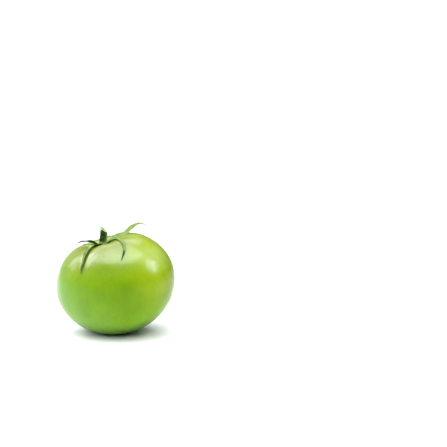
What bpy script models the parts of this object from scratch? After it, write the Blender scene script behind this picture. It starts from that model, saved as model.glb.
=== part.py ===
"""A green tomato as picked: the whole fruit on a small flat spot, and its calyx with a stub of stalk.

Each piece is worked out in the fruit's own frame: the stalk's axis is +Z and the origin is inside the fruit.
The fruit then leans as it lies, and is lowered until the surface flattens its underside a little.
The model's origin is the middle of that flat spot. +Z is up, -Y is towards the viewer and +X is to the right.
"""

import math

import bmesh
import bpy
from mathutils import Matrix, Vector

COLLECTION_NAME = "green_tomato"

# The fruit's profile, in metres: half a rounded oblong, fuller than an ellipse where a power is over 2
FRUIT_RADIUS = 0.0355
CROWN_HEIGHT = 0.0311
BLOSSOM_DEPTH = 0.0314
CROWN_POWER = 1.94
BLOSSOM_POWER = 1.97
# How much fuller the crown is to the left than to the right, and the base the other way about
SKEW = 0.027

# The hollow round the stalk and the scar at the blossom end: depth as a share of the radius, and width
STALK_HOLLOW = 0.27
STALK_HOLLOW_WIDTH = math.radians(25)
SCAR_HOLLOW = 0.02
SCAR_WIDTH = math.radians(5)

# The faint lobes: how many go round, how high they are as a share of the radius, and where one points
LOBES = (
    (2, 0.0043, math.radians(-9)),
    (3, 0.0044, math.radians(25)),
    (5, 0.0028, math.radians(91)),
    (9, 0.0035, math.radians(-88)),
)
# How strong the lobes are at the fruit's widest, and how much stronger at the crown
LOBES_AT_WAIST = 0.7
LOBES_TO_CROWN = 0.3

# The furrows that run from the shoulder into the stalk's hollow
FURROWS = 9
FURROW_DEPTH = 0.016
FIRST_FURROW = math.radians(-68)
FURROW_MIDDLE = math.radians(24)
FURROW_REACH = math.radians(12)

# How the fruit lies: its top leans to the left and a trace away from the viewer
LEAN_LEFT = math.radians(17)
LEAN_BACK = math.radians(1)
REST_SINK = 0.0011
REST_BLEND = 0.00025
UNDERSIDE_ROWS = 90
UNDERSIDE_COLUMNS = 120

FRUIT_SEGMENTS = 72
FRUIT_RINGS = 40
SLOPE_STEP = math.radians(0.6)
SHARP_ANGLE = math.radians(50)

# How far the hub and the sepals are held off the fruit, as pieces that touch it
HUB_GAP = 0.0003
SEPAL_GAP = 0.00045

# What all sepals share
SEPAL_THICKNESS = 0.0008
SEPAL_ROOT_RADIUS = 0.0018
SEPAL_ROOT_RISE = 0.0004
SEPAL_STEPS = 16
SEPAL_COLUMNS = 4
SEPAL_FOLD = 0.3
LIFT_FROM = 0.35
ROOT_WIDTH_SHARE = 0.72
SWELL_END = 0.22
TAPER_POWER = 0.85
TIP_WIDTH = 0.0008

# Each sepal: where its root points and how far its tip has turned from there, in degrees, its length
# and width, how high it arches off the fruit, how high its tip is lifted, and its twist in degrees
SEPALS = {
    "right": dict(points=4, turns=12, length=0.0214, width=0.005, arch=0.0006, lift=0.0063, twist=30),
    "front_right": dict(points=-40, turns=-34, length=0.029, width=0.0044, arch=0.0005, lift=0.0016, twist=-25),
    "front_left": dict(points=-110, turns=-9, length=0.0295, width=0.005, arch=0.0002, lift=0.0011, twist=20),
    "left": dict(points=-156, turns=9, length=0.0165, width=0.0042, arch=0.0028, lift=0.0022, twist=-15),
    "back_left": dict(points=142, turns=-20, length=0.024, width=0.0048, arch=0.0003, lift=0.0014, twist=20),
    "back_right": dict(points=88, turns=-24, length=0.027, width=0.005, arch=0.0003, lift=0.002, twist=-15),
}

# The hub, where the sepals meet, and the stub of stalk on it
HUB_RADIUS = 0.0042
HUB_HEIGHT = 0.0011
HUB_FLARE_HEIGHT = 0.0022
HUB_FLARE_POWER = 1.5
HUB_UNDERSIDE = ((0.96, 0.0006), (0.62, 0.0001))
STALK_RADIUS = 0.0020
STALK_HEIGHT = 0.0112
STALK_SWELL = 0.0002
STALK_ROWS = 16
STALK_SIDES = 20
STALK_RIBS = 5
STALK_RIB_HEIGHT = 0.06
STALK_BEND = Vector((0.0034, 0.0, 0.0))
CUT_SLOPE = Vector((-0.9, 0.2, 0.0))
CUT_ONSET = 6
SCREW_MERGE = 0.00002

FRUIT_COLOUR = (0.24, 0.42, 0.03, 1.0)
FRUIT_ROUGHNESS = 0.3
CALYX_COLOUR = (0.09, 0.20, 0.05, 1.0)
CALYX_ROUGHNESS = 0.6


def clear_scene():
    """Remove whatever the file holds, so that only the tomato is left."""
    for old in list(bpy.data.objects):
        bpy.data.objects.remove(old, do_unlink=True)


def smooth(share):
    """Ease from 0 to 1 with level ends."""
    share = min(1.0, max(0.0, share))
    return share * share * (3 - 2 * share)


def hump(offset, width):
    """A rounded hump, 1 high at its middle."""
    return math.exp(-((offset / width) ** 2))


def fruit_radius(polar, around):
    """The skin's distance from the origin. polar is the angle off the stalk's axis, around the one about it."""
    cosine, sine = math.cos(polar), math.sin(polar)
    power = BLOSSOM_POWER + (CROWN_POWER - BLOSSOM_POWER) * smooth((cosine + 1) / 2)
    depth = CROWN_HEIGHT if cosine > 0 else BLOSSOM_DEPTH
    dome = ((abs(sine) / FRUIT_RADIUS) ** power + (abs(cosine) / depth) ** power) ** (-1 / power)
    hollows = STALK_HOLLOW * hump(polar, STALK_HOLLOW_WIDTH)
    hollows += SCAR_HOLLOW * hump(math.pi - polar, SCAR_WIDTH)
    lobes = sum(height * math.cos(count * (around - first)) for count, height, first in LOBES)
    lobes *= sine * sine * (LOBES_AT_WAIST + LOBES_TO_CROWN * cosine)
    furrows = FURROW_DEPTH * (1 + math.cos(FURROWS * (around - FIRST_FURROW))) / 2
    furrows *= hump(polar - FURROW_MIDDLE, FURROW_REACH) * smooth(polar / FURROW_REACH)
    skew = SKEW * math.cos(around) * sine * cosine
    return dome * (1 - hollows + lobes - furrows - skew)


def fruit_point(polar, around):
    """A point of the skin."""
    sine = math.sin(polar)
    direction = Vector((sine * math.cos(around), sine * math.sin(around), math.cos(polar)))
    return fruit_radius(polar, around) * direction


def polar_and_around(point):
    """The two angles of a point."""
    return math.atan2(math.hypot(point.x, point.y), point.z), math.atan2(point.y, point.x)


def skin_outward(polar, around):
    """The skin's outward direction, from a short step down it and a level direction across it."""
    down = fruit_point(polar + SLOPE_STEP, around) - fruit_point(polar, around)
    across = Vector((-math.sin(around), math.cos(around), 0.0))
    return down.cross(across).normalized()


def lean():
    """The turn from the fruit's own frame to how it lies."""
    return Matrix.Rotation(-LEAN_LEFT, 4, "Y") @ Matrix.Rotation(-LEAN_BACK, 4, "X")


def fruit_placement():
    """The matrix from the fruit's own frame to the model's: the lean, then the drop onto the surface."""
    turn = lean()
    underside = (
        turn @ fruit_point(math.pi * (1 + row / UNDERSIDE_ROWS) / 2, math.tau * column / UNDERSIDE_COLUMNS)
        for row in range(UNDERSIDE_ROWS + 1)
        for column in range(UNDERSIDE_COLUMNS)
    )
    lowest = min(underside, key=lambda point: point.z)
    return Matrix.Translation((-lowest.x, -lowest.y, -lowest.z - REST_SINK)) @ turn


def settled(point):
    """Where a point of the laid-down skin ends up: level at the flat spot, with a soft turn into it."""
    if point.z >= REST_BLEND:
        return point
    height = max(0.0, point.z + REST_BLEND) ** 2 / (4 * REST_BLEND)
    return Vector((point.x, point.y, height))


def plain_material(name, colour, roughness):
    """A Principled material of one colour."""
    material = bpy.data.materials.new(name)
    material.use_nodes = True
    shader = material.node_tree.nodes["Principled BSDF"]
    shader.inputs["Base Color"].default_value = colour
    shader.inputs["Roughness"].default_value = roughness
    shader.inputs["Metallic"].default_value = 0.0
    return material


def mesh_object(name, bm, collection):
    """The bmesh as an object in the collection."""
    mesh = bpy.data.meshes.new(name)
    bm.to_mesh(mesh)
    bm.free()
    made = bpy.data.objects.new(name, mesh)
    collection.objects.link(made)
    return made


def finish(made, material):
    """Give the object its one material and smooth shading but for its sharp rims."""
    made.data.materials.clear()
    made.data.materials.append(material)
    made.data.shade_smooth()
    made.data.set_sharp_from_angle(angle=SHARP_ANGLE)


def apply_modifiers(made):
    """Turn what the object's modifiers make into its own mesh."""
    graph = bpy.context.evaluated_depsgraph_get()
    mesh = bpy.data.meshes.new_from_object(made.evaluated_get(graph))
    old = made.data
    made.modifiers.clear()
    made.data = mesh
    bpy.data.meshes.remove(old)
    mesh.name = made.name


def build_fruit(placement, collection):
    """The fruit: a sphere drawn out to the skin in every direction, laid down and flattened underneath."""
    bm = bmesh.new()
    bmesh.ops.create_uvsphere(bm, u_segments=FRUIT_SEGMENTS, v_segments=FRUIT_RINGS, radius=1.0)
    for vert in bm.verts:
        vert.co = settled(placement @ fruit_point(*polar_and_around(vert.co)))
    fruit = mesh_object("fruit", bm, collection)
    finish(fruit, plain_material("green_skin", FRUIT_COLOUR, FRUIT_ROUGHNESS))


def sepal_path(sepal):
    """The sepal's middle line over the skin, as (point, outward direction) at even steps of its length."""
    polar = SEPAL_ROOT_RADIUS / fruit_radius(0, 0)
    path = []
    for i in range(SEPAL_STEPS + 1):
        share = i / SEPAL_STEPS
        around = math.radians(sepal["points"] + sepal["turns"] * share**2)
        outward = skin_outward(polar, around)
        rise = SEPAL_GAP + SEPAL_ROOT_RISE + sepal["arch"] * math.sin(math.pi * share) ** 2
        rise += sepal["lift"] * smooth((share - LIFT_FROM) / (1 - LIFT_FROM))
        path.append((fruit_point(polar, around) + outward * rise, outward))
        polar += sepal["length"] / SEPAL_STEPS / fruit_radius(polar, around)
    return path


def sepal_width(sepal, share):
    """The blade's width: widest a little way from the root, then tapering to a fine tip."""
    swell = ROOT_WIDTH_SHARE + (1 - ROOT_WIDTH_SHARE) * smooth(share / SWELL_END)
    return TIP_WIDTH + (sepal["width"] - TIP_WIDTH) * swell * (1 - share) ** TAPER_POWER


def kept_clear(point, gap):
    """The point, moved out if need be, so that it stands off the skin by the gap."""
    least = fruit_radius(*polar_and_around(point)) + gap
    return point if point.length >= least else point.normalized() * least


def build_sepal(name, sepal, placement, collection):
    """One sepal: a narrow sheet along its line, twisted, its edges folded up, then given its thickness."""
    path = sepal_path(sepal)
    bm = bmesh.new()
    bmesh.ops.create_grid(bm, x_segments=SEPAL_STEPS, y_segments=SEPAL_COLUMNS, size=1.0)
    for vert in bm.verts:
        share, across = (vert.co.x + 1) / 2, vert.co.y
        i = round(share * SEPAL_STEPS)
        point, outward = path[i]
        ahead = (path[min(i + 1, SEPAL_STEPS)][0] - path[max(i - 1, 0)][0]).normalized()
        twist = Matrix.Rotation(math.radians(sepal["twist"]) * share, 3, ahead)
        side = twist @ outward.cross(ahead).normalized()
        half = sepal_width(sepal, share) / 2
        place = point + side * (across * half) + ahead.cross(side) * (SEPAL_FOLD * half * across**2)
        vert.co = placement @ kept_clear(place, SEPAL_GAP)
    bmesh.ops.triangulate(bm, faces=bm.faces)
    sheet = mesh_object(name, bm, collection)
    solidify = sheet.modifiers.new("thickness", "SOLIDIFY")
    solidify.thickness = SEPAL_THICKNESS
    solidify.offset = 1.0
    apply_modifiers(sheet)


def stalk_profile():
    """(radius, height) down the stalk's outside to the hub's rim, then in along the hub's underside."""
    profile = [(0.0, STALK_HEIGHT)]
    for row in range(STALK_ROWS + 1):
        share = row / STALK_ROWS
        height = STALK_HEIGHT + (HUB_HEIGHT - STALK_HEIGHT) * share
        flare = 1 - smooth((height - HUB_HEIGHT) / HUB_FLARE_HEIGHT)
        radius = STALK_RADIUS + STALK_SWELL * (1 - share) ** 2
        radius += (HUB_RADIUS - STALK_RADIUS) * flare**HUB_FLARE_POWER
        profile.append((radius, height))
    profile.extend((HUB_RADIUS * share, height) for share, height in HUB_UNDERSIDE)
    profile.append((0.0, 0.0))
    return profile


def shape_stalk(point):
    """Rib the turned stalk, cut its end at a slant, bend it and stand it on the hollow's floor."""
    around = math.atan2(point.y, point.x)
    share = smooth((point.z - HUB_HEIGHT) / (STALK_HEIGHT - HUB_HEIGHT))
    rib = 1 + STALK_RIB_HEIGHT * math.cos(STALK_RIBS * around) * smooth(point.z / HUB_FLARE_HEIGHT)
    shaped = Vector((point.x * rib, point.y * rib, point.z))
    shaped.z += share**CUT_ONSET * shaped.dot(CUT_SLOPE)
    shaped += STALK_BEND * share**2
    shaped.z += fruit_radius(0, 0) + HUB_GAP
    return kept_clear(shaped, HUB_GAP)


def build_stalk(placement, collection):
    """The hub with the stub of stalk: one turned and then shaped solid, which the sepals are joined to."""
    bm = bmesh.new()
    verts = [bm.verts.new((radius, 0.0, height)) for radius, height in stalk_profile()]
    for upper, lower in zip(verts, verts[1:]):
        bm.edges.new((upper, lower))
    stalk = mesh_object("calyx", bm, collection)
    screw = stalk.modifiers.new("turned", "SCREW")
    screw.steps = screw.render_steps = STALK_SIDES
    screw.use_merge_vertices = True
    screw.merge_threshold = SCREW_MERGE
    apply_modifiers(stalk)
    for vert in stalk.data.vertices:
        vert.co = placement @ shape_stalk(vert.co)
    return stalk


def build_calyx(placement, collection):
    """The calyx with its stalk, joined into one body as it grew."""
    sepals = bpy.data.collections.new("sepals")
    bpy.context.scene.collection.children.link(sepals)
    for name, sepal in SEPALS.items():
        build_sepal(f"sepal_{name}", sepal, placement, sepals)
    calyx = build_stalk(placement, collection)
    union = calyx.modifiers.new("grown_together", "BOOLEAN")
    union.operation = "UNION"
    union.operand_type = "COLLECTION"
    union.collection = sepals
    # The exact solver leaves the crossing roots of the sepals as separate bodies
    union.solver = "MANIFOLD"
    apply_modifiers(calyx)
    for sheet in list(sepals.objects):
        bpy.data.objects.remove(sheet, do_unlink=True)
    bpy.data.collections.remove(sepals)
    finish(calyx, plain_material("calyx_green", CALYX_COLOUR, CALYX_ROUGHNESS))


def main():
    """Build the tomato in a collection of its own."""
    clear_scene()
    collection = bpy.data.collections.new(COLLECTION_NAME)
    bpy.context.scene.collection.children.link(collection)
    placement = fruit_placement()
    build_fruit(placement, collection)
    build_calyx(placement, collection)


main()
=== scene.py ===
"""A green tomato's looks: waxy skin, a hairy calyx and a stub of stalk, on a white table in soft light."""

import math
import random

import bpy
from mathutils import Matrix, Vector, noise
from mathutils.kdtree import KDTree


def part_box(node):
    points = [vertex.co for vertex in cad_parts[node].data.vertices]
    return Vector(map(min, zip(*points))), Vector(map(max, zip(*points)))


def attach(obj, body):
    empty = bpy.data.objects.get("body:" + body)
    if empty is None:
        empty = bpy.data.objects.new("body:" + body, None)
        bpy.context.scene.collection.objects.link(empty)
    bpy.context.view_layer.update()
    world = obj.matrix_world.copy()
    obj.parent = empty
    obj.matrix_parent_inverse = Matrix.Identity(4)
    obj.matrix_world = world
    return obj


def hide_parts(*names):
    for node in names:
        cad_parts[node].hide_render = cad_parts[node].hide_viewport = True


# The photograph's side and where the fruit's middle falls in it, in pixels, and how the camera stands
PHOTO_SIZE = 447
FRUIT_AT = (115.8, 283.0)
VIEW_ELEVATION = math.radians(11.5)
VIEW_DISTANCE = 0.85
FRAME_WIDTH = 0.268
SENSOR_WIDTH = 36.0

# The fruit's profile, hollows, lobes and furrows, as the model has them
FRUIT_RADIUS = 0.0355
CROWN_HEIGHT = 0.0311
BLOSSOM_DEPTH = 0.0314
CROWN_POWER = 1.94
BLOSSOM_POWER = 1.97
SKEW = 0.027
STALK_HOLLOW = 0.27
STALK_HOLLOW_WIDTH = math.radians(25)
SCAR_HOLLOW = 0.02
SCAR_WIDTH = math.radians(5)
# Each lobing as (how many lobes, height as a share of the radius, where the first one stands)
LOBES = (
    (2, 0.0043, math.radians(-9)),
    (3, 0.0044, math.radians(25)),
    (5, 0.0028, math.radians(91)),
    (9, 0.0035, math.radians(-88)),
)
LOBES_AT_WAIST = 0.7
LOBES_TO_CROWN = 0.3
FURROWS = 9
FURROW_DEPTH = 0.016
FIRST_FURROW = math.radians(-68)
FURROW_MIDDLE = math.radians(24)
FURROW_REACH = math.radians(12)
LEAN_LEFT = math.radians(17)
LEAN_BACK = math.radians(1)
REST_SINK = 0.0011
REST_BLEND = 0.00025
UNDERSIDE_ROWS = 90
UNDERSIDE_COLUMNS = 120
SLOPE_STEP = math.radians(0.6)

# The skin's own fine relief: soft dents, ripples, and creases that run out from under the calyx
SKIN_ROWS = 150
SKIN_COLUMNS = 264
DENT_DEPTH = 0.00016
DENT_SIZE = 0.011
RIPPLE_DEPTH = 0.00003
RIPPLE_SIZE = 0.0025
CREASES = 31
CREASE_DEPTH = 0.0000213
CREASE_REACH = math.radians(15)
CREASE_WANDER = 3.0
CREASE_WANDER_SCALE = 6

# How far from a sepal's middle line, and how high above the table, painted shade darkens the skin's green
SHADED_REACH = 0.0036
TABLE_SHADE_REACH = 0.011

# What all sepals share. Each LIFT, SWELL, TWIST and DARK_TIP value is a share of the length
SEAT_GAP = 0.00012
SEPAL_SEAT = 0.0004
SEPAL_ROOT_RADIUS = 0.0014
SEPAL_ROWS = 64
SEPAL_COLUMNS = 10
SEPAL_THICKNESS = 0.00042
EDGE_THICKNESS = 0.00012
SEPAL_FOLD = 0.3
LIFT_FROM = 0.46
LIFT_END = 0.86
SWELL_END = 0.22
TWIST_REACH = 0.35
DARK_TIP_FROM = 0.76
DARK_TIP_FADE = 0.12
ROOT_WIDTH_SHARE = 0.72
TAPER_POWER = 0.85
TIP_WIDTH = 0.0003
MARGIN_WAVE = 0.00022
MARGIN_WAVES = 3.4
WAVE_STEP = 0.37
MARGIN_NOTCH = 0.05
MIDRIB_GROOVE = 0.0001
MIDRIB_KEEL = 0.0003
MIDRIB_WIDTH = 0.16
# How fast the noise that notches a margin, and the noise that makes it waver, runs along and across
NOTCH_PACE = (14, 2)
WAVER_PACE = (9, 3)
WAVER_SEED = 5

# Each sepal, near to the model's and turned further to show its face. In degrees: the way that it points,
# how far it turns on from there, and its twist, from a share of its length on. In metres: its length,
# width, arch and the lift of its tip. From 0 to 1: how pale (painted light) and dry it is, and how dark
# at its edge (painted shade) and tip
SEPALS = {
    "right": dict(
        points=4, turns=12, length=0.0226, width=0.0062, arch=0.0002, lift=0.0059,
        twist=42, twist_from=0.0, pale=1.0, dry=0.0, shaded_edge=0, dark_tip=0,
    ),
    "front_right": dict(
        points=-44.5, turns=-29, length=0.0298, width=0.0042, arch=-0.0002, lift=0.0007,
        twist=-14, twist_from=0.0, pale=1.0, dry=1.0, shaded_edge=0, dark_tip=0.65,
    ),
    "front_left": dict(
        points=-116, turns=-5, length=0.031, width=0.0060, arch=0.0002, lift=0.0002,
        twist=6, twist_from=0.3, pale=0.45, dry=0.0, shaded_edge=1, dark_tip=0.42,
    ),
    "left": dict(
        points=-160, turns=9, length=0.0170, width=0.0046, arch=0.0034, lift=0.0026,
        twist=18, twist_from=0.0, pale=0.0, dry=0.2, shaded_edge=1, dark_tip=0,
    ),
    "back_left": dict(
        points=141, turns=-21, length=0.024, width=0.0038, arch=-0.0004, lift=0.0,
        twist=0, twist_from=0.0, pale=1.0, dry=0.3, shaded_edge=0, dark_tip=0,
    ),
    "back_right": dict(
        points=88, turns=-22, length=0.027, width=0.0040, arch=-0.0003, lift=0.0,
        twist=0, twist_from=0.0, pale=1.0, dry=0.4, shaded_edge=0, dark_tip=0,
    ),
}

# The hub, which is a star with a point for each sepal, and the stub of stalk. The dip, points, ribs,
# stripes and bumps are shares of the radius
HUB_RADIUS = 0.0042
HUB_HEIGHT = 0.0011
HUB_FLARE_HEIGHT = 0.0022
HUB_FLARE_POWER = 1.5
HUB_DIP = 0.22
HUB_POINT = 0.308
HUB_POINT_WIDTH = math.radians(17)
STALK_RADIUS = 0.0023
STALK_HEIGHT = 0.0106
STALK_SWELL = -0.0004
STALK_ROWS = 44
STALK_SIDES = 60
STALK_RIBS = 5
STALK_RIB_HEIGHT = 0.06
STRIPES = 17
STRIPE_HEIGHT = 0.012
STRIPE_LEAN = 2
BUMP_HEIGHT = 0.03
BUMPS_AROUND = 2
BUMPS_ALONG = 9
STALK_BEND = Vector((0.0023, 0.0, 0.0))
# The torn end: where it peaks, its slopes to the right and to the back, and how its left shoulder rounds
CUT_PEAK = -0.0003
CUT_FALL = 1.5
CUT_RISE_BACK = 0.45
CUT_SHOULDER = 650
# The cut face from its rim inwards: share of the stalk's radius, and how far it stands above the cut
CUT_RINGS = ((0.97, 0.00006), (0.88, 0.00008), (0.72, 0.00001), (0.45, -0.00004), (0.2, -0.00012))
CUT_MARK_POWER = 4
# The hub's underside from its rim inwards: share of the hub's radius, and height
HUB_UNDERSIDE = ((0.94, 0.0006), (0.6, 0.0001))

# The hairs. The lean is how widely their ways spread about the surface's outward one, and the sink is
# the share of a hair's length that stands in the surface
HAIR_SEED = 11
HAIRS_ON_STALK = 650
HAIRS_PER_SEPAL = 520
HAIR_LENGTH = (0.00025, 0.0007)
HAIR_RADIUS = 0.000022
HAIR_LEAN = 0.45
HAIR_SINK = 0.1

# The skin's colours as light: its greens by level, from the blossom end up, then those laid over them
SKIN_GREENS = (
    # The two lowest stops are darker, as painted shade from the table
    (0.0, (0.12, 0.26, 0.005, 1.0)),
    (0.09, (0.12, 0.26, 0.004, 1.0)),
    (0.16, (0.16, 0.336, 0.004, 1.0)),
    (0.3, (0.124, 0.256, 0.0024, 1.0)),
    (0.5, (0.108, 0.224, 0.0016, 1.0)),
    (0.66, (0.136, 0.248, 0.0024, 1.0)),
    (0.8, (0.142, 0.186, 0.0048, 1.0)),
    (0.9, (0.162, 0.202, 0.008, 1.0)),
)
SUNNY_GREEN = (0.345, 0.44, 0.0064, 1.0)
# A painted reflection: pale blue-green laid low on the left
PAINTED_REFLECTION_GREEN = (0.16, 0.32, 0.06, 1.0)
PALE_GREEN = (0.288, 0.44, 0.012, 1.0)
DEEP_GREEN = (0.056, 0.168, 0.0016, 1.0)
# Painted shade: the darker green laid beside the sepals
CALYX_SHADE_GREEN = (0.11, 0.22, 0.006, 1.0)
SCAR_BROWN = (0.152, 0.088, 0.032, 1.0)

# The calyx's colours as light
LEAF_DARK = (0.016, 0.04, 0.0064, 1.0)
LEAF_GREEN = (0.048, 0.096, 0.02, 1.0)
LEAF_UNDER = (0.04, 0.08, 0.016, 1.0)
LEAF_PALE = (0.16, 0.26, 0.055, 1.0)
LEAF_PALEST = (0.25, 0.36, 0.10, 1.0)
LEAF_RIB = (0.18, 0.26, 0.075, 1.0)
LEAF_DRY = (0.215, 0.25, 0.062, 1.0)
STALK_DARK = (0.010, 0.032, 0.002, 1.0)
WOOD_PALE = (0.44, 0.496, 0.304, 1.0)
WOOD_GREEN = (0.25, 0.33, 0.16, 1.0)
HAIR_GREEN = (0.305, 0.445, 0.156, 1.0)
HAIR_PALE = (0.515, 0.631, 0.305, 1.0)
DOWN = (0.36, 0.5, 0.16, 1.0)

# In each pattern below, a RANGE is (low, high, what low becomes, what high becomes), the last two being
# 0 and 1 where they are left out, and a SCALE is how many noise cells fit in one unit of length
NOISE_ROUGHNESS = 0.55

# The skin's pattern, where a unit of length is the fruit's radius
DRIFT = 0.3
DRIFT_SCALE = 1.3
SUNNY_TO_BACK = -0.2
SUNNY_RANGE = (0.3, 0.95)
SUNNY_TO_CROWN = 0.7
SUNNY_FRONT_RANGE = (-0.65, -0.1, 0.7, 0.2)
# Where the painted reflection lies: low on the left
PAINTED_REFLECTION_TO_CROWN = 0.5
PAINTED_REFLECTION_RANGE = (-0.85, -0.1, 0.55, 0.0)
# Each layer of blotches as (scale, detail, range, strength, colour)
SKIN_BLOTCHES = (
    (3.2, 4.0, (0.35, 0.65), 0.14, PALE_GREEN),
    (6.5, 5.0, (0.48, 0.72), 0.22, DEEP_GREEN),
)
CALYX_SHADE = 0.35
STREAK_SCALE = (26.0, 26.0, 2.5)
STREAK_RANGE = (0.4, 0.7)
STREAKS = 0.08
SPECK_SCALE = 30.0
SPECK_RANGE = (0.06, 0.16, 1.0, 0.0)
SPECKS = 0.22
SPECK_PIT = -0.3
SCAR_RAGGED = 0.05
SCAR_RAGGED_SCALE = 14.0
SCAR_RANGE = (0.05, 0.085, 1.0, 0.0)
SCAR_HEIGHT_RANGE = (-0.8, -0.7, 1.0, 0.0)
SCAR_ROUGHNESS = 0.4
GLOSS_SCALE = 9.0
GLOSS_RANGE = (0.3, 0.7, 0.21, 0.27)
PORE_SCALE = 55.0

# The calyx's patterns, where a unit of length is a metre
LEAF_PATCH_SCALE = 450.0
LEAF_PATCH_RANGE = (0.35, 0.65)
PALE_ROOT_RANGE = (0.3, 0.6, 1.0, 0.0)
VEINS = 0.3
VEIN_SLANT = 0.12
VEIN_PACE = 95.0
VEIN_RANGE = (0.75, 1.0)
VEIN_RELIEF = 0.5
MIDRIB_RANGE = (0.05, 0.18, 0.4, 0.0)
DRY_SPREAD = 0.7
DRY_RAGGED = 0.3
DRY_RAGGED_SCALE = 300.0
DRY_RANGE = (1.1, 1.3, 0.0, 0.9)
DARK_MARGIN_RANGE = (0.8, 1.0, 0.0, 0.4)
DARK_RANGE = (0.2, 0.65)
LEAF_GRAIN_SCALE = 2200.0
STALK_PATCH_SCALE = 600.0
STALK_PATCH_RANGE = (0.4, 0.8)
STALK_LIT_SIDE_RANGE = (0.3, 0.9, 0.0, 0.7)
FOOT_RANGE = (0.05, 0.35, 1.0, 0.0)
FOOT_LEFT_RANGE = (-0.8, 0.3, 1.0, 0.25)
HEARTWOOD_RANGE = (0.55, 0.9)
WOOD_FLECK_SCALE = 1500.0
WOOD_FLECK_RANGE = (0.45, 0.65, 0.0, 0.4)
CUT_RIM_RANGE = (0.02, 0.12)
STALK_TOP_RANGE = (0.955, 0.985)
STALK_GRAIN_SCALE = 1800.0
HAIR_PATCH_SCALE = 300.0

# Each surface's finish, the same all over it, and its bump as (strength, depth in metres)
SKIN_FINISH = {
    "IOR": 1.46,
    "Specular IOR Level": 0.12,
    "Subsurface Weight": 0.2,
    "Subsurface Radius": (0.6, 1.0, 0.15),
    "Subsurface Scale": 0.003,
}
DOWNY_FINISH = {
    "Specular IOR Level": 0.01,
    "Sheen Weight": 0.015,
    "Sheen Roughness": 0.5,
    "Sheen Tint": DOWN,
}
SEPAL_FINISH = DOWNY_FINISH | {
    "Roughness": 0.6,
    "Subsurface Weight": 0.12,
    "Subsurface Radius": (0.5, 1.0, 0.2),
    "Subsurface Scale": 0.0006,
}
STALK_FINISH = DOWNY_FINISH | {"Roughness": 0.55}
HAIR_FINISH = DOWNY_FINISH | {"Roughness": 0.5}
TABLE_FINISH = {"Roughness": 0.5, "Specular IOR Level": 0.2}
SKIN_BUMP = (0.12, 0.0001)
LEAF_BUMP = (0.35, 0.00008)
STALK_BUMP = (0.4, 0.0001)

# The table
TABLE_SIDE = 2.4
TABLE_WHITES = ((0.86, 0.87, 0.88, 1.0), (0.9, 0.9, 0.9, 1.0))
TABLE_PATCH_SCALE = 3.0

# The lights: panels of (azimuth, elevation), width and height in degrees seen from the fruit, and radiance
PANEL_DISTANCE = 1.2
MIRRORED_PANELS = {
    "overhead": ((0, 88), 68, 50, 20.0),
    "overhead_front": ((-6, 78), 52, 32, 18.0),
    "overhead_back": ((-172, 53), 54, 38, 7.0),
    "back_right": ((113, 42), 40, 36, 6.0),
    "back_right_low": ((130, 20), 44, 22, 1.4),
    "left": ((-108, 48), 41, 21, 42.0),
    "left_low": ((-122, 27), 34, 18, 11.0),
    "right": ((91, 31), 25, 24, 34.0),
    "upper_right": ((82, 54), 32, 22, 12.0),
}
MIRRORED_TINT = (0.78, 0.76, 1.0)
DAYLIGHT = ((-40, 72), 100, 100, 2.08)
DAYLIGHT_TINT = (1.0, 1.0, 1.0)

# The tent's colour, its strength from front to back, what its sides multiply that by, what its top
# adds, and the strength that the camera sees
TENT_COLOUR = (0.96, 0.98, 1.0, 1.0)
TENT_BACK_RANGE = (-0.9, 0.2, 0.12, 0.35)
TENT_RIGHT_RANGE = (0.0, 0.5, 1.0, 0.12)
TENT_LEFT_RANGE = (-0.45, 0.0, 3.0, 1.0)
TENT_TOP_RANGE = (0.2, 0.9, 0.0, 0.95)
TENT_SEEN = 1.1


def smooth(share):
    """Ease from 0 to 1 with level ends."""
    share = min(1.0, max(0.0, share))
    return share * share * (3 - 2 * share)


def hump(offset, width):
    """A rounded hump, 1 high at its middle."""
    return math.exp(-((offset / width) ** 2))


def fruit_radius(polar, around):
    """The skin's distance from the origin, by the angle off the stalk's axis and the one about it."""
    cosine, sine = math.cos(polar), math.sin(polar)
    power = BLOSSOM_POWER + (CROWN_POWER - BLOSSOM_POWER) * smooth((cosine + 1) / 2)
    depth = CROWN_HEIGHT if cosine > 0 else BLOSSOM_DEPTH
    dome = ((abs(sine) / FRUIT_RADIUS) ** power + (abs(cosine) / depth) ** power) ** (-1 / power)
    hollows = STALK_HOLLOW * hump(polar, STALK_HOLLOW_WIDTH)
    hollows += SCAR_HOLLOW * hump(math.pi - polar, SCAR_WIDTH)
    lobes = sum(height * math.cos(count * (around - first)) for count, height, first in LOBES)
    lobes *= sine * sine * (LOBES_AT_WAIST + LOBES_TO_CROWN * cosine)
    furrows = FURROW_DEPTH * (1 + math.cos(FURROWS * (around - FIRST_FURROW))) / 2
    furrows *= hump(polar - FURROW_MIDDLE, FURROW_REACH) * smooth(polar / FURROW_REACH)
    skew = SKEW * math.cos(around) * sine * cosine
    return dome * (1 - hollows + lobes - furrows - skew)


def direction(polar, around):
    """The unit vector at the two angles."""
    sine = math.sin(polar)
    return Vector((sine * math.cos(around), sine * math.sin(around), math.cos(polar)))


def fruit_point(polar, around):
    """A point of the skin, without its fine relief."""
    return fruit_radius(polar, around) * direction(polar, around)


def skin_relief(polar, around):
    """How far the skin's fine relief stands above the plain form."""
    place = fruit_point(polar, around)
    dents = DENT_DEPTH * noise.noise(place / DENT_SIZE)
    ripples = RIPPLE_DEPTH * noise.noise(place / RIPPLE_SIZE)
    wander = CREASE_WANDER * noise.noise(direction(polar, around) * CREASE_WANDER_SCALE)
    crease = CREASE_DEPTH * math.cos(CREASES * around + wander)
    return dents + ripples + crease * hump(polar - CREASE_REACH / 2, CREASE_REACH / 2)


def polar_and_around(point):
    """The two angles of a point."""
    return math.atan2(math.hypot(point.x, point.y), point.z), math.atan2(point.y, point.x)


def skin_outward(polar, around):
    """The skin's outward direction, from a short step down it and a level direction across it."""
    down = fruit_point(polar + SLOPE_STEP, around) - fruit_point(polar, around)
    across = Vector((-math.sin(around), math.cos(around), 0.0))
    return down.cross(across).normalized()


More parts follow.
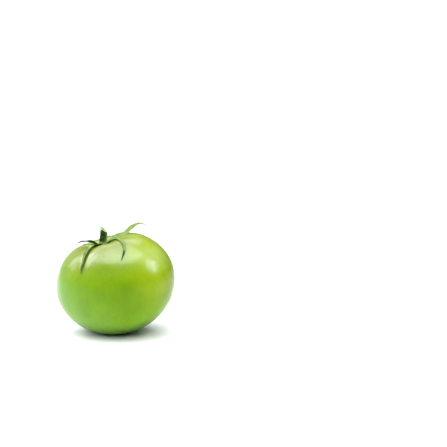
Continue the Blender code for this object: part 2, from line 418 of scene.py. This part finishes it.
def fruit_placement():
    """The matrix from the fruit's own frame to the model's: the lean, then the drop onto the surface."""
    turn = Matrix.Rotation(-LEAN_LEFT, 4, "Y") @ Matrix.Rotation(-LEAN_BACK, 4, "X")
    underside = (
        turn @ fruit_point(math.pi * (1 + row / UNDERSIDE_ROWS) / 2, math.tau * column / UNDERSIDE_COLUMNS)
        for row in range(UNDERSIDE_ROWS + 1)
        for column in range(UNDERSIDE_COLUMNS)
    )
    lowest = min(underside, key=lambda point: point.z)
    return Matrix.Translation((-lowest.x, -lowest.y, -lowest.z - REST_SINK)) @ turn


def settled(point):
    """Where a point of the laid-down skin ends up: level at the flat spot, with a soft turn into it."""
    if point.z >= REST_BLEND:
        return point
    height = max(0.0, point.z + REST_BLEND) ** 2 / (4 * REST_BLEND)
    return Vector((point.x, point.y, height))


def piece_from(name, points, faces, marks, material):
    """A smooth mesh piece that rides on the body, with a named value a point for its material to read."""
    mesh = bpy.data.meshes.new(name)
    mesh.from_pydata(points, [], faces)
    for mark_name, values in marks.items():
        if isinstance(values[0], Vector):
            layer = mesh.attributes.new(mark_name, "FLOAT_VECTOR", "POINT")
            layer.data.foreach_set("vector", [part for value in values for part in value])
        else:
            layer = mesh.attributes.new(mark_name, "FLOAT", "POINT")
            layer.data.foreach_set("value", values)
    mesh.shade_smooth()
    mesh.materials.append(material)
    piece = bpy.data.objects.new(name, mesh)
    bpy.context.scene.collection.objects.link(piece)
    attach(piece, "root")
    return piece


def loft(name, rings, marks, material):
    """A closed smooth piece through rings of points, with a value for each point in each of the marks."""
    count = len(rings[0])
    points = [point for ring in rings for point in ring]
    faces = []
    for row in range(len(rings) - 1):
        for i in range(count):
            j = (i + 1) % count
            faces.append((row * count + i, row * count + j, (row + 1) * count + j, (row + 1) * count + i))
    for row, order in ((0, -1), (len(rings) - 1, 1)):
        ends = [row * count + i for i in range(count)][::order]
        middle = len(points)
        points.append(sum((points[i] for i in ends), Vector()) / count)
        for values in marks.values():
            values.append(sum((values[i] for i in ends[1:]), values[ends[0]]) / count)
        faces.extend((ends[i], ends[(i + 1) % count], middle) for i in range(count))
    return piece_from(name, points, faces, marks, material)


def sepal_path(sepal):
    """The sepal's middle line over the skin, as (point, outward direction) at even steps of its length."""
    polar = SEPAL_ROOT_RADIUS / fruit_radius(0, 0)
    path = []
    for i in range(SEPAL_ROWS + 1):
        share = i / SEPAL_ROWS
        around = math.radians(sepal["points"] + sepal["turns"] * share**2)
        outward = skin_outward(polar, around)
        rise = SEPAL_SEAT + sepal["arch"] * math.sin(math.pi * share) ** 2
        rise += sepal["lift"] * smooth((share - LIFT_FROM) / (LIFT_END - LIFT_FROM))
        path.append((fruit_point(polar, around) + outward * rise, outward))
        polar += sepal["length"] / SEPAL_ROWS / fruit_radius(polar, around)
    return path


def calyx_lines():
    """A search tree of the sepals' middle lines, to tell how near to one a point of the skin is."""
    points = [point for sepal in SEPALS.values() for point, _ in sepal_path(sepal)]
    tree = KDTree(len(points))
    for i, point in enumerate(points):
        tree.insert(point, i)
    tree.balance()
    return tree


def build_skin(placement, material):
    """The fruit's skin with its fine relief, laid down and flattened underneath."""
    # The marks are where each point grew, with the fruit's radius as 1, and how near it is to a sepal's
    # middle line and to the table, which set where painted shade darkens the skin
    rings, grown, shaded, low = [], [], [], []
    lines = calyx_lines()
    for row in range(1, SKIN_ROWS):
        polar = math.pi * row / SKIN_ROWS
        ring = []
        for column in range(SKIN_COLUMNS):
            around = -math.tau * column / SKIN_COLUMNS
            own = fruit_point(polar, around) + direction(polar, around) * skin_relief(polar, around)
            ring.append(settled(placement @ own))
            grown.append(own / FRUIT_RADIUS)
            shaded.append(1 - smooth(lines.find(own)[2] / SHADED_REACH))
            # Painted shade near the table, fading out with height above it
            low.append(1 - smooth(ring[-1].z / TABLE_SHADE_REACH))
        rings.append(ring)
    skin = loft("tomato_skin", rings, {"grown": grown, "shaded": shaded, "low": low}, material)
    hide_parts("fruit")


def sepal_width(sepal, share):
    """The blade's width: widest a little way from the root, then tapering to a fine tip."""
    swell = ROOT_WIDTH_SHARE + (1 - ROOT_WIDTH_SHARE) * smooth(share / SWELL_END)
    return TIP_WIDTH + (sepal["width"] - TIP_WIDTH) * swell * (1 - share) ** TAPER_POWER


def kept_clear(point):
    """The point, moved out if need be, so that it rests on the skin."""
    least = fruit_radius(*polar_and_around(point)) + SEAT_GAP
    return point if point.length >= least else point.normalized() * least


def margin_noise(share, edge, pace, seed):
    """Noise that runs along a blade's two margins, each its own."""
    along, across = pace
    return noise.noise(Vector((share * along, edge * across, seed)))


def blade_rise(share, across, edge, half, fade, waves):
    """How far the blade's middle sheet rises from its line: it folds up to its margins, which wave."""
    fold = SEPAL_FOLD * (1 - share) * half * across**2
    wave = edge * math.sin(math.tau * (MARGIN_WAVES * share + waves))
    waver = across**2 * margin_noise(share, edge, WAVER_PACE, waves + WAVER_SEED)
    return fold + MARGIN_WAVE * fade * (wave + waver)


def blade_face(share, across, fade, top):
    """How far a face of the blade stands off its middle sheet, with the midrib's groove or keel."""
    thick = EDGE_THICKNESS + (SEPAL_THICKNESS - EDGE_THICKNESS) * math.sqrt(1 - across**2)
    rib = hump(across, MIDRIB_WIDTH)
    if top:
        return fade * (thick / 2 - MIDRIB_GROOVE * rib)
    return -fade * (thick / 2 + MIDRIB_KEEL * rib * (1 - share))


def sepal_section(sepal, path, row, waves):
    """One cross-section of a sepal as (point, across, face) round it: along the top, then the underside."""
    share = row / SEPAL_ROWS
    point, outward = path[row]
    ahead = (path[min(row + 1, SEPAL_ROWS)][0] - path[max(row - 1, 0)][0]).normalized()
    twist = math.radians(sepal["twist"]) * smooth((share - sepal["twist_from"]) / TWIST_REACH)
    side = Matrix.Rotation(twist, 3, ahead) @ outward.cross(ahead).normalized()
    upward = ahead.cross(side)
    half = sepal_width(sepal, share) / 2
    fade = min(1.0, half / (sepal["width"] / 4))
    section = []
    for k in range(2 * SEPAL_COLUMNS):
        top = k <= SEPAL_COLUMNS
        across = 1 - 2 * k / SEPAL_COLUMNS if top else 2 * (k - SEPAL_COLUMNS) / SEPAL_COLUMNS - 1
        edge = math.copysign(1, across) * across**2
        notch = 1 + MARGIN_NOTCH * margin_noise(share, edge, NOTCH_PACE, waves)
        height = blade_rise(share, across, edge, half, fade, waves) + blade_face(share, across, fade, top)
        place = point + side * (across * half * notch) + upward * height
        section.append((kept_clear(place), across, 1.0 if top else 0.0))
    return section


def build_sepal(name, sepal, waves, placement, material):
    """One sepal: a thin lens-shaped blade with a midrib, wavy margins and a fine tip."""
    path = sepal_path(sepal)
    rings, along, across, face = [], [], [], []
    for row in range(SEPAL_ROWS + 1):
        section = sepal_section(sepal, path, row, waves)
        rings.append([placement @ point for point, _, _ in section])
        along.extend(row / SEPAL_ROWS for _ in section)
        across.extend(place for _, place, _ in section)
        face.extend(side for _, _, side in section)
    marks = {"along": along, "across": across, "face": face}
    # Painted light: the pale share makes lit sepals paler and shaded ones deeper green
    marks["pale"] = [sepal["pale"]] * len(along)
    marks["dry"] = [sepal["dry"]] * len(along)
    # Painted shade along one edge of some sepals, with the dark of the tip
    marks["dark"] = [
        max(sepal["shaded_edge"] * place, sepal["dark_tip"] * smooth((share - DARK_TIP_FROM) / DARK_TIP_FADE))
        for share, place in zip(along, across)
    ]
    blade = loft(f"sepal_{name}", rings, marks, material)
    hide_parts("calyx")
    return blade


def hub_star(around):
    """How far the hub's star stands out at an angle: 1 under each sepal, falling off between them."""
    return max(
        hump(math.remainder(around - math.radians(sepal["points"]), math.tau), HUB_POINT_WIDTH)
        for sepal in SEPALS.values()
    )


def stalk_radius(share, around):
    """The stalk's radius and height, from the top at share 0 to the hub's rim at share 1."""
    height = STALK_HEIGHT + (HUB_HEIGHT - STALK_HEIGHT) * share
    flare = (1 - smooth((height - HUB_HEIGHT) / HUB_FLARE_HEIGHT)) ** HUB_FLARE_POWER
    hub = HUB_RADIUS * (1 - HUB_DIP + HUB_POINT * hub_star(around))
    radius = STALK_RADIUS + STALK_SWELL * (1 - share) ** 2 + (hub - STALK_RADIUS) * flare
    ribs = STALK_RIB_HEIGHT * math.cos(STALK_RIBS * around)
    ribs += STRIPE_HEIGHT * math.cos(STRIPES * around + STRIPE_LEAN * share)
    place = Vector((BUMPS_AROUND * math.cos(around), BUMPS_AROUND * math.sin(around), BUMPS_ALONG * share))
    return radius * (1 + ribs * (1 - flare) + BUMP_HEIGHT * noise.noise(place)), height


def cut_height(point):
    """How far the torn end stands above the stalk's height: it peaks left of the middle and falls off."""
    beyond = point.x - CUT_PEAK
    fall = CUT_FALL * beyond if beyond > 0 else CUT_SHOULDER * beyond**2
    return CUT_RISE_BACK * point.y - CUT_FALL * CUT_PEAK - fall


def shape_stalk(point):
    """Cut the turned stalk's end at a slant, bend it and stand it on the hollow's floor."""
    share = min(1.0, max(0.0, (point.z - HUB_HEIGHT) / (STALK_HEIGHT - HUB_HEIGHT)))
    shaped = point.copy()
    shaped.z += share * smooth(share) * cut_height(point)
    shaped += STALK_BEND * smooth(share)
    shaped.z += fruit_radius(0, 0) + SEAT_GAP
    return kept_clear(shaped)


def stalk_outlines(turns):
    """Each ring's radii and heights, how far up it is and how much cut, from the cut's middle down."""
    for share, rise in reversed(CUT_RINGS):
        outline = [(stalk_radius(0, around)[0] * share, STALK_HEIGHT + rise) for around in turns]
        yield outline, 1.0, 1.0 - share**CUT_MARK_POWER
    for row in range(STALK_ROWS + 1):
        share = row / STALK_ROWS
        yield [stalk_radius(share, around) for around in turns], 1.0 - share, 0.0
    for share, height in HUB_UNDERSIDE:
        yield [(stalk_radius(1, around)[0] * share, height) for around in turns], 0.0, 0.0


def build_stalk(placement, material):
    """The hub and the stub of stalk, closed by the cut face above and the hub's underside below."""
    rings, up, cut, right = [], [], [], []
    turns = [-math.tau * i / STALK_SIDES for i in range(STALK_SIDES)]
    for outline, level, is_cut in stalk_outlines(turns):
        turned = [
            Vector((radius * math.cos(around), radius * math.sin(around), height))
            for around, (radius, height) in zip(turns, outline)
        ]
        rings.append([placement @ shape_stalk(point) for point in turned])
        up.extend(level for _ in turns)
        cut.extend(is_cut for _ in turns)
        right.extend(math.cos(around) for around in turns)
    stalk = loft("stalk", rings, {"up": up, "cut": cut, "right": right}, material)
    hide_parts("calyx")
    return stalk


def spike(points, faces, root, along, radius):
    """Add one hair: a three-sided spike with its foot closed."""
    side = along.orthogonal().normalized()
    first = len(points)
    for i in range(3):
        turn = Matrix.Rotation(math.tau * i / 3, 3, along.normalized())
        points.append(root - along * HAIR_SINK + turn @ side * radius)
    points.append(root + along)
    faces.append((first + 2, first + 1, first))
    faces.extend((first + i, first + (i + 1) % 3, first + 3) for i in range(3))


def build_hairs(pieces, material):
    """Fine hairs standing on the sepals and the stalk, leaning at random, with the draw seeded."""
    chance = random.Random(HAIR_SEED)
    points, faces = [], []
    for piece in pieces:
        mesh = piece.data
        wanted = HAIRS_ON_STALK if piece.name == "stalk" else HAIRS_PER_SEPAL
        areas = [polygon.area for polygon in mesh.polygons]
        for polygon in chance.choices(mesh.polygons, weights=areas, k=wanted):
            corners = [mesh.vertices[i].co for i in polygon.vertices]
            spot = corners[0].lerp(corners[1], chance.random()).lerp(corners[2], chance.random() / 2)
            lean = Vector([chance.gauss(0, HAIR_LEAN) for _ in range(3)])
            along = (polygon.normal + lean).normalized() * chance.uniform(*HAIR_LENGTH)
            spike(points, faces, spot, along, HAIR_RADIUS)
    hairs = piece_from("calyx_hairs", points, faces, {}, material)
    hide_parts("calyx")


def new_material(name):
    """A material with nodes: returns it, its tree and its Principled shader."""
    material = bpy.data.materials.new(name)
    material.use_nodes = True
    return material, material.node_tree, material.node_tree.nodes["Principled BSDF"]


def put(tree, target, value):
    """Set a socket to a value, or link another socket to it."""
    if isinstance(value, bpy.types.NodeSocket):
        tree.links.new(value, target)
    else:
        target.default_value = value


def add(tree, kind, settings=None, **inputs):
    """A node of the kind, with its settings and its named inputs, where _ stands for a space."""
    made = tree.nodes.new(f"ShaderNode{kind}")
    for name, value in (settings or {}).items():
        setattr(made, name, value)
    for name, value in inputs.items():
        put(tree, made.inputs[name.replace("_", " ")], value)
    return made


def mark(tree, name, vector=False):
    """What a mesh's named mark holds."""
    made = add(tree, "Attribute", {"attribute_name": name})
    return made.outputs["Vector" if vector else "Fac"]


def own_place(tree):
    """The place of each point in its object, in metres."""
    return add(tree, "TexCoord").outputs["Object"]


def maths(tree, operation, *values):
    """One step of arithmetic."""
    made = add(tree, "Math", {"operation": operation})
    for socket, value in zip(made.inputs, values):
        put(tree, socket, value)
    return made.outputs["Value"]


def plus(tree, first, second):
    """Two values added."""
    return maths(tree, "ADD", first, second)


def minus(tree, first, second):
    """The second value taken from the first."""
    return maths(tree, "SUBTRACT", first, second)


def times(tree, first, second):
    """Two values multiplied."""
    return maths(tree, "MULTIPLY", first, second)


def blotches(tree, vector, scale, detail=3.0):
    """Soft noise from 0 to 1 at the scale."""
    made = add(tree, "TexNoise", Vector=vector, Scale=scale, Detail=detail, Roughness=NOISE_ROUGHNESS)
    return made.outputs["Fac"]


def remap(tree, value, low, high, to_low=0.0, to_high=1.0, linear=False):
    """The value's stretch from low to high brought to another, with soft ends unless it is linear."""
    made = add(tree, "MapRange", {"interpolation_type": "LINEAR" if linear else "SMOOTHSTEP"}, Value=value)
    for name, number in (("From Min", low), ("From Max", high), ("To Min", to_low), ("To Max", to_high)):
        made.inputs[name].default_value = number
    return made.outputs["Result"]


def mixed(tree, share, first, second):
    """Two colours mixed by the share."""
    made = add(tree, "Mix", {"data_type": "RGBA"})
    put(tree, made.inputs["Factor"], share)
    colours = [socket for socket in made.inputs if socket.type == "RGBA"]
    put(tree, colours[0], first)
    put(tree, colours[1], second)
    return next(socket for socket in made.outputs if socket.type == "RGBA")


def ramp(tree, value, stops):
    """A colour ramp of (position, colour)."""
    made = add(tree, "ValToRGB", Fac=value)
    elements = made.color_ramp.elements
    while len(elements) < len(stops):
        elements.new(0.5)
    for element, (position, colour) in zip(elements, stops):
        element.position = position
        element.color = colour
    return made.outputs["Color"]


def give_finish(shader, finish):
    """Set the shader's values that are the same all over the surface."""
    for name, value in finish.items():
        shader.inputs[name].default_value = value


def give_bump(tree, shader, relief, strength, depth):
    """Bump the shader's surface by the relief."""
    bump = add(tree, "Bump", Height=relief, Strength=strength, Distance=depth)
    put(tree, shader.inputs["Normal"], bump.outputs["Normal"])


def skin_green(tree, grown, right, back, height):
    """The skin's green by height, sunnier to the right, painted reflection low on the left, soft-bordered.
    """
    drift = times(tree, minus(tree, blotches(tree, grown, DRIFT_SCALE, detail=2.0), 0.5), DRIFT)
    level = remap(tree, plus(tree, height, drift), -1.0, 1.0, linear=True)
    green = ramp(tree, level, SKIN_GREENS)
    sunny = plus(tree, right, times(tree, back, SUNNY_TO_BACK))
    sunny = remap(tree, plus(tree, sunny, drift), *SUNNY_RANGE)
    facing = minus(tree, back, times(tree, height, SUNNY_TO_CROWN))
    sunny = times(tree, sunny, remap(tree, facing, *SUNNY_FRONT_RANGE))
    green = mixed(tree, sunny, green, SUNNY_GREEN)
    painted_reflection = plus(tree, right, times(tree, height, PAINTED_REFLECTION_TO_CROWN))
    painted_reflection = remap(tree, plus(tree, painted_reflection, drift), *PAINTED_REFLECTION_RANGE)
    return mixed(tree, painted_reflection, green, PAINTED_REFLECTION_GREEN)


def mottled(tree, grown, green):
    """The green with blotches, with painted shade beside the sepals and near the table, and with fine
    streaks.
    """
    for scale, detail, span, strength, colour in SKIN_BLOTCHES:
        layer = remap(tree, blotches(tree, grown, scale, detail), *span)
        green = mixed(tree, times(tree, layer, strength), green, colour)
    # Painted shade: deeper green beside the sepals' middle lines
    green = mixed(tree, times(tree, mark(tree, "shaded"), CALYX_SHADE), green, CALYX_SHADE_GREEN)
    # Painted shade near the table: deep green low on the fruit
    green = mixed(tree, mark(tree, "low"), green, DEEP_GREEN)
    stretched = add(tree, "Mapping", Vector=grown, Scale=STREAK_SCALE).outputs["Vector"]
    streaks = remap(tree, blotches(tree, stretched, 1.0, detail=2.0), *STREAK_RANGE)
    return mixed(tree, times(tree, streaks, STREAKS), green, PALE_GREEN)


def skin_specks(tree, grown):
    """Where the skin's small pale specks are."""
    cells = add(tree, "TexVoronoi", {"feature": "F1"}, Vector=grown, Scale=SPECK_SCALE)
    return remap(tree, cells.outputs["Distance"], *SPECK_RANGE)


def skin_scar(tree, grown, right, back, height):
    """Where the scar at the blossom end is: a ragged spot round the stalk's axis, underneath."""
    level = add(tree, "CombineXYZ", X=right, Y=back).outputs["Vector"]
    off_axis = add(tree, "VectorMath", {"operation": "LENGTH"}, Vector=level).outputs["Value"]
    ragged = plus(tree, off_axis, times(tree, blotches(tree, grown, SCAR_RAGGED_SCALE), SCAR_RAGGED))
    return times(tree, remap(tree, ragged, *SCAR_RANGE), remap(tree, height, *SCAR_HEIGHT_RANGE))


def skin_material():
    """Waxy green skin: yellower on its sunny side, mottled, with pale specks and a scar underneath."""
    material, tree, shader = new_material("tomato_skin")
    grown = mark(tree, "grown", vector=True)
    right, back, height = add(tree, "SeparateXYZ", Vector=grown).outputs
    green = mottled(tree, grown, skin_green(tree, grown, right, back, height))
    specks = skin_specks(tree, grown)
    green = mixed(tree, times(tree, specks, SPECKS), green, PALE_GREEN)
    scar = skin_scar(tree, grown, right, back, height)
    put(tree, shader.inputs["Base Color"], mixed(tree, scar, green, SCAR_BROWN))
    gloss = remap(tree, blotches(tree, grown, GLOSS_SCALE), *GLOSS_RANGE)
    put(tree, shader.inputs["Roughness"], plus(tree, gloss, times(tree, scar, SCAR_ROUGHNESS)))
    give_finish(shader, SKIN_FINISH)
    relief = plus(tree, times(tree, specks, SPECK_PIT), blotches(tree, grown, PORE_SCALE, detail=2.0))
    give_bump(tree, shader, relief, *SKIN_BUMP)
    return material


def leaf_green(tree, place, along):
    """Patchy sepal green: deep or pale on top as painted light, always pale at the root, duller underneath.
    """
    patchy = remap(tree, blotches(tree, place, LEAF_PATCH_SCALE), *LEAF_PATCH_RANGE)
    deep = mixed(tree, patchy, LEAF_DARK, LEAF_GREEN)
    light = mixed(tree, patchy, LEAF_PALE, LEAF_PALEST)
    pale = maths(tree, "MAXIMUM", mark(tree, "pale"), remap(tree, along, *PALE_ROOT_RANGE))
    under = mixed(tree, patchy, LEAF_UNDER, LEAF_GREEN)
    return mixed(tree, mark(tree, "face"), under, mixed(tree, pale, deep, light))


def leaf_veins(tree, along, off):
    """Where a sepal's side veins are: fine lines that slant away from the midrib."""
    slant = minus(tree, along, times(tree, off, VEIN_SLANT))
    return remap(tree, maths(tree, "SINE", times(tree, slant, VEIN_PACE)), *VEIN_RANGE)


def leaf_dryness(tree, place, along):
    """How dry a sepal is: it dries from the tip, with a ragged border."""
    ragged = plus(tree, along, times(tree, blotches(tree, place, DRY_RAGGED_SCALE), DRY_RAGGED))
    spread = times(tree, mark(tree, "dry"), DRY_SPREAD)
    return remap(tree, plus(tree, ragged, spread), *DRY_RANGE)


def sepal_material():
    """Leaf green with a pale midrib, faint side veins, dry tips, dark margins and painted shade on some
    edges.
    """
    material, tree, shader = new_material("sepal_leaf")
    along = mark(tree, "along")
    off = maths(tree, "ABSOLUTE", mark(tree, "across"))
    place = own_place(tree)
    veins = leaf_veins(tree, along, off)
    green = leaf_green(tree, place, along)
    green = mixed(tree, times(tree, veins, VEINS), green, LEAF_RIB)
    green = mixed(tree, remap(tree, off, *MIDRIB_RANGE), green, LEAF_RIB)
    green = mixed(tree, leaf_dryness(tree, place, along), green, LEAF_DRY)
    dark = remap(tree, off, *DARK_MARGIN_RANGE)
    # The dark mark is painted shade on one edge of some sepals, and the dark tip
    dark = plus(tree, dark, remap(tree, mark(tree, "dark"), *DARK_RANGE))
    put(tree, shader.inputs["Base Color"], mixed(tree, dark, green, LEAF_DARK))
    give_finish(shader, SEPAL_FINISH)
    relief = plus(tree, times(tree, veins, VEIN_RELIEF), blotches(tree, place, LEAF_GRAIN_SCALE))
    give_bump(tree, shader, relief, *LEAF_BUMP)
    return material


def cut_wood(tree, place, cut):
    """The cut face's colour: palest round its rim and greener at its heart, with flecks."""
    wood = mixed(tree, remap(tree, cut, *HEARTWOOD_RANGE), WOOD_PALE, WOOD_GREEN)
    flecks = remap(tree, blotches(tree, place, WOOD_FLECK_SCALE), *WOOD_FLECK_RANGE)
    return mixed(tree, flecks, wood, WOOD_GREEN)


def stalk_material():
    """Dark ridged green, paler on its right side as painted light and at its foot, with a woody cut end."""
    material, tree, shader = new_material("stalk_green")
    up, cut, right = (mark(tree, name) for name in ("up", "cut", "right"))
    place = own_place(tree)
    patches = remap(tree, blotches(tree, place, STALK_PATCH_SCALE, detail=4.0), *STALK_PATCH_RANGE)
    green = mixed(tree, patches, STALK_DARK, LEAF_GREEN)
    # Painted light: the stalk is paler on its right side, where light falls
    green = mixed(tree, remap(tree, right, *STALK_LIT_SIDE_RANGE), green, LEAF_PALE)
    foot = times(tree, remap(tree, up, *FOOT_RANGE), remap(tree, right, *FOOT_LEFT_RANGE))
    green = mixed(tree, foot, green, LEAF_PALEST)
    torn = maths(tree, "MAXIMUM", remap(tree, cut, *CUT_RIM_RANGE), remap(tree, up, *STALK_TOP_RANGE))
    put(tree, shader.inputs["Base Color"], mixed(tree, torn, green, cut_wood(tree, place, cut)))
    give_finish(shader, STALK_FINISH)
    give_bump(tree, shader, blotches(tree, place, STALK_GRAIN_SCALE), *STALK_BUMP)
    return material


def hair_material():
    """Fine pale green hairs."""
    material, tree, shader = new_material("calyx_hair")
    pale = mixed(tree, blotches(tree, own_place(tree), HAIR_PATCH_SCALE), HAIR_GREEN, HAIR_PALE)
    put(tree, shader.inputs["Base Color"], pale)
    give_finish(shader, HAIR_FINISH)
    return material


def table_material():
    """Matt white, a little uneven."""
    material, tree, shader = new_material("white_table")
    white = mixed(tree, blotches(tree, own_place(tree), TABLE_PATCH_SCALE), *TABLE_WHITES)
    put(tree, shader.inputs["Base Color"], white)
    give_finish(shader, TABLE_FINISH)
    return material


def build_table(material):
    """A wide white table."""
    bpy.ops.mesh.primitive_plane_add(size=TABLE_SIDE, location=(0.0, 0.0, 0.0))
    table = bpy.context.object
    table.name = "table"
    table.data.materials.append(material)


def build_panel(name, middle, facing, wide, high, radiance, tint, diffuse=False):
    """An elliptical panel that spans the two angles as the fruit sees it, at (azimuth, elevation)."""
    azimuth, elevation = map(math.radians, facing)
    way = Vector((
        math.sin(azimuth) * math.cos(elevation),
        -math.cos(azimuth) * math.cos(elevation),
        math.sin(elevation),
    ))
    data = bpy.data.lights.new(name, "AREA")
    data.shape = "ELLIPSE"
    data.size = 2 * PANEL_DISTANCE * math.tan(math.radians(wide) / 2)
    data.size_y = 2 * PANEL_DISTANCE * math.tan(math.radians(high) / 2)
    area = math.pi / 4 * data.size * data.size_y
    data.energy = radiance * math.pi * area
    data.color = tint
    lamp = bpy.data.objects.new(name, data)
    lamp.location = middle + way * PANEL_DISTANCE
    lamp.rotation_euler = way.to_track_quat("Z", "Y").to_euler()
    lamp.visible_camera = False
    lamp.visible_diffuse = diffuse
    lamp.visible_glossy = not diffuse
    bpy.context.scene.collection.objects.link(lamp)


def build_tent():
    """The tent round the table, dim towards the viewer and to the right. The camera sees it plain white."""
    world = bpy.data.worlds.new("tent")
    bpy.context.scene.world = world
    world.use_nodes = True
    tree = world.node_tree
    way = add(tree, "TexCoord").outputs["Generated"]
    right, back, up = add(tree, "SeparateXYZ", Vector=way).outputs
    sides = times(tree, remap(tree, right, *TENT_RIGHT_RANGE), remap(tree, right, *TENT_LEFT_RANGE))
    strength = times(tree, remap(tree, back, *TENT_BACK_RANGE), sides)
    strength = plus(tree, strength, remap(tree, up, *TENT_TOP_RANGE))
    seen = times(tree, add(tree, "LightPath").outputs["Is Camera Ray"], TENT_SEEN)
    background = tree.nodes["Background"]
    background.inputs["Color"].default_value = TENT_COLOUR
    put(tree, background.inputs["Strength"], maths(tree, "MAXIMUM", strength, seen))


def build_lights(middle):
    """The tent, the panels that the waxy skin mirrors and the daylight that falls from above."""
    build_tent()
    for name, (facing, wide, high, radiance) in MIRRORED_PANELS.items():
        build_panel(name, middle, facing, wide, high, radiance, MIRRORED_TINT)
    build_panel("daylight", middle, *DAYLIGHT, DAYLIGHT_TINT, diffuse=True)


def build_camera(middle):
    """The camera at the photograph's angle, turned so that the fruit's middle falls on its pixel."""
    data = bpy.data.cameras.new("camera")
    data.sensor_width = SENSOR_WIDTH
    data.lens = SENSOR_WIDTH * VIEW_DISTANCE / FRAME_WIDTH
    camera = bpy.data.objects.new("camera", data)
    bpy.context.scene.collection.objects.link(camera)
    across, down = ((at - PHOTO_SIZE / 2) / PHOTO_SIZE * SENSOR_WIDTH / data.lens for at in FRUIT_AT)
    reach = math.sqrt(1 + across**2 + down**2)
    yaw = math.asin(across / reach / math.cos(VIEW_ELEVATION))
    level = math.cos(yaw) * math.cos(VIEW_ELEVATION)
    pitch = math.atan2(math.sin(VIEW_ELEVATION), level)
    pitch -= math.asin(down / reach / math.sqrt(1 - (across / reach) ** 2))
    place = middle + VIEW_DISTANCE * Vector((0.0, -math.cos(VIEW_ELEVATION), math.sin(VIEW_ELEVATION)))
    turn = Matrix.Rotation(yaw, 4, "Z") @ Matrix.Rotation(math.pi / 2 - pitch, 4, "X")
    camera.matrix_world = Matrix.Translation(place) @ turn
    bpy.context.scene.camera = camera


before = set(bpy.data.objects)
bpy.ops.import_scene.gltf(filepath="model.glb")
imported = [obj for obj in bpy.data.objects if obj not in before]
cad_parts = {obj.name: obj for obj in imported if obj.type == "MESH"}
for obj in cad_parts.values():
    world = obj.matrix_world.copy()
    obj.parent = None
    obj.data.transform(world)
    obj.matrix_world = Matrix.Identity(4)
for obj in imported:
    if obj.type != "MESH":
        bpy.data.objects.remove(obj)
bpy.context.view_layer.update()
lowest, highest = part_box("fruit")
fruit_middle = (lowest + highest) / 2
build_camera(fruit_middle)
laid = fruit_placement()
build_skin(laid, skin_material())
leaf = sepal_material()
green_pieces = [
    build_sepal(name, sepal, i * WAVE_STEP, laid, leaf)
    for i, (name, sepal) in enumerate(SEPALS.items())
]
green_pieces.append(build_stalk(laid, stalk_material()))
build_hairs(green_pieces, hair_material())
build_table(table_material())
build_lights(fruit_middle)
bpy.context.scene.view_settings.view_transform = "Standard"

bpy.context.view_layer.update()
